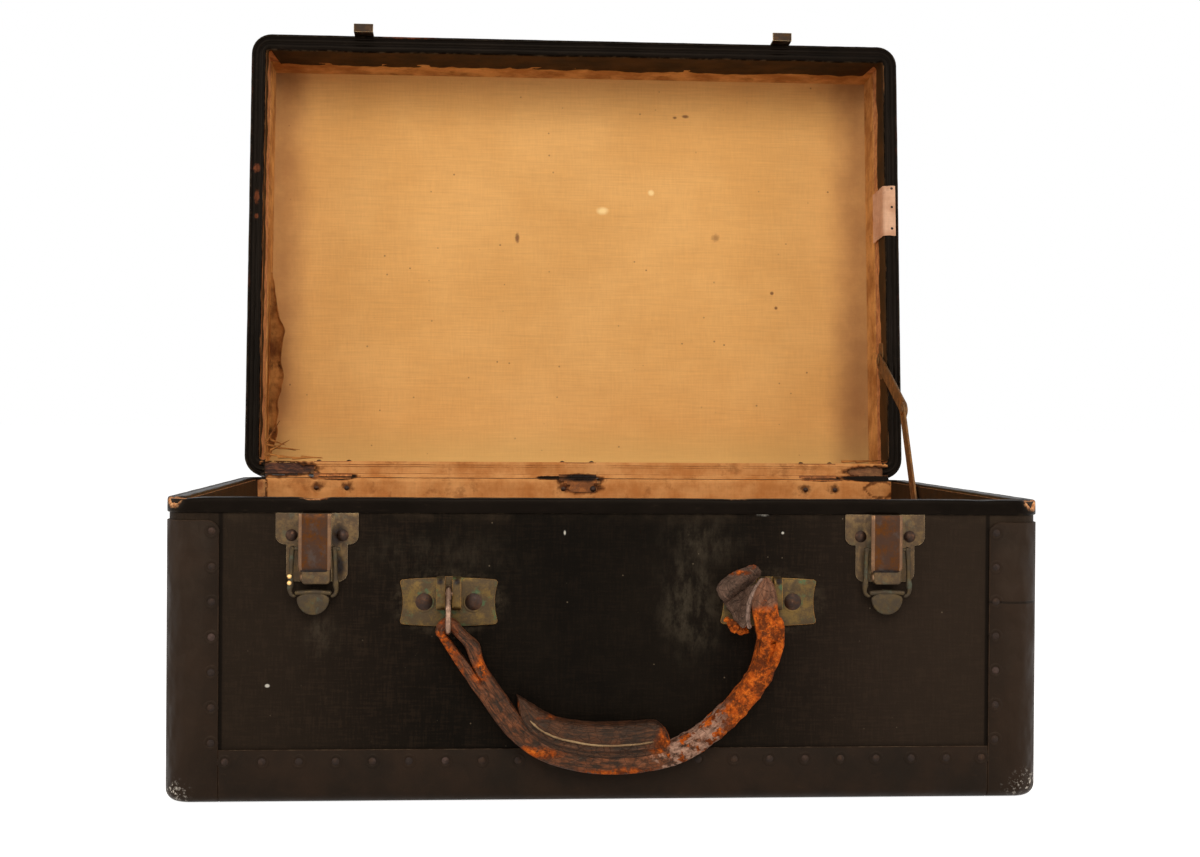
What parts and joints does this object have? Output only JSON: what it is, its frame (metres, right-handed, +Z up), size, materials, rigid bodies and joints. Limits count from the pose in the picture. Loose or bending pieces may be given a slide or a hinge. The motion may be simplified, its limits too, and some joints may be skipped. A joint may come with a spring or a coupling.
{
  "type": "travelling case",
  "caption": "Hard-sided travelling case with hinged lid, fibre edge bindings, loop latches, side stay, cloth lining and a worn leather carrying handle.",
  "frame": {"origin": "centre of the underside, on the surface the case stands on", "axes": "+X to the right along the width seen from the handle side, +Y from the handle side to the hinges, +Z up"},
  "size_m": [0.4584, 0.4295, 0.4727],
  "materials": {
    "board": "thin bass wood boards, raw where the covering is torn",
    "cover_cloth": "coated woven cloth, nearly black brown, rubbed grey",
    "fibre": "hard dark brown fibre, rubbed and dented",
    "rim_fibre": "black fibre strip with fine ridges",
    "turn_in": "dark brown cover cloth turned inside",
    "linen": "tan linen lining, spotted",
    "wall_linen": "orange brown lining of the walls",
    "hinge_cloth": "pinkish tan cloth glued over the hinges",
    "patch": "pasted cloth patch",
    "plate_brass": "aged plated brass with green and brown patina",
    "spring_copper": "copper coloured strap",
    "rivet_steel": "darkened domed rivets",
    "tack_steel": "small rusty tacks",
    "hinge_steel": "rusty pressed steel",
    "stay_brass": "flat brass strips",
    "leather": "worn grey brown leather with orange edges"
  },
  "bodies": {
    "base": {"base_bottom_board": "board", "base_front_board": "board", "base_back_board": "board", "base_left_board": "board", "base_right_board": "board", "base_cover": "cover_cloth", "underside_sheet": "cover_cloth", "base_corner_bindings": "fibre", "base_bottom_bindings": "fibre", "base_tacks": "tack_steel", "base_rim_strip": "rim_fibre", "base_turn_in": "turn_in", "hinge_cloth_base": "hinge_cloth", "base_lining_walls": "wall_linen", "base_lining_floor": "linen", "hinge_base_leaves": "hinge_steel", "hinge_pins": "hinge_steel", "hinge_base_rivets": "rivet_steel", "latch_plate_left": "plate_brass", "latch_plate_right": "plate_brass", "latch_spring_left": "spring_copper", "latch_spring_right": "spring_copper", "latch_pins": "plate_brass", "latch_rivets": "rivet_steel", "handle_plate_left": "plate_brass", "handle_plate_right": "plate_brass", "handle_pins": "plate_brass", "handle_rivets": "rivet_steel", "stay_base_bracket": "stay_brass"},
    "lid": {"lid_panel_board": "board", "lid_front_board": "board", "lid_back_board": "board", "lid_left_board": "board", "lid_right_board": "board", "lid_cover": "cover_cloth", "lid_corner_bindings": "fibre", "lid_edge_bindings": "fibre", "lid_tacks": "tack_steel", "lid_rim_band": "rim_fibre", "lid_turn_in": "turn_in", "hinge_cloth_lid": "hinge_cloth", "lid_lining_walls": "wall_linen", "lid_lining_panel": "linen", "hinge_lid_leaves": "hinge_steel", "hinge_lid_rivets": "rivet_steel", "lid_patch": "patch", "catch_left": "plate_brass", "catch_right": "plate_brass", "catch_rivets": "rivet_steel", "stay_lid_bracket": "stay_brass"},
    "handle": {"handle_ring_left": "plate_brass", "handle_ring_right": "plate_brass", "handle_strap": "leather", "handle_grip": "leather", "handle_end_wrap": "leather"},
    "loop_left": {"latch_loop_left": "plate_brass"},
    "loop_right": {"latch_loop_right": "plate_brass"},
    "upper_link": {"stay_upper_link": "stay_brass"},
    "lower_link": {"stay_lower_link": "stay_brass"}
  },
  "joints": [
    {"name": "lid_hinge", "type": "hinge", "parent": "base", "child": "lid", "pos_m": [0, 0.155, 0.1573], "axis": [1, 0, 0], "range_deg": [0, 95.2]},
    {"name": "handle_swing", "type": "hinge", "parent": "base", "child": "handle", "pos_m": [0, -0.1598, 0.108], "axis": [-1, 0, 0], "range_deg": [0, 120]},
    {"name": "latch_left", "type": "hinge", "parent": "base", "child": "loop_left", "pos_m": [-0.1505, -0.1598, 0.131], "axis": [-1, 0, 0], "range_deg": [-5, 182]},
    {"name": "latch_right", "type": "hinge", "parent": "base", "child": "loop_right", "pos_m": [0.1445, -0.1598, 0.131], "axis": [-1, 0, 0], "range_deg": [-5, 182]},
    {"name": "stay_upper", "type": "hinge", "parent": "lid", "child": "upper_link", "pos_m": [0.2168, 0.17915, 0.24065], "axis": [1, 0, 0], "range_deg": [-136.4, 0]},
    {"name": "stay_lower", "type": "hinge", "parent": "base", "child": "lower_link", "pos_m": [0.2153, 0.051, 0.1173], "axis": [1, 0, 0], "range_deg": [0, 68.3]}
  ],
  "couplings": [
    {"joint": "stay_upper", "follows": "lid_hinge", "ratio": -1.4297},
    {"joint": "stay_lower", "follows": "lid_hinge", "ratio": 0.71531}
  ]
}
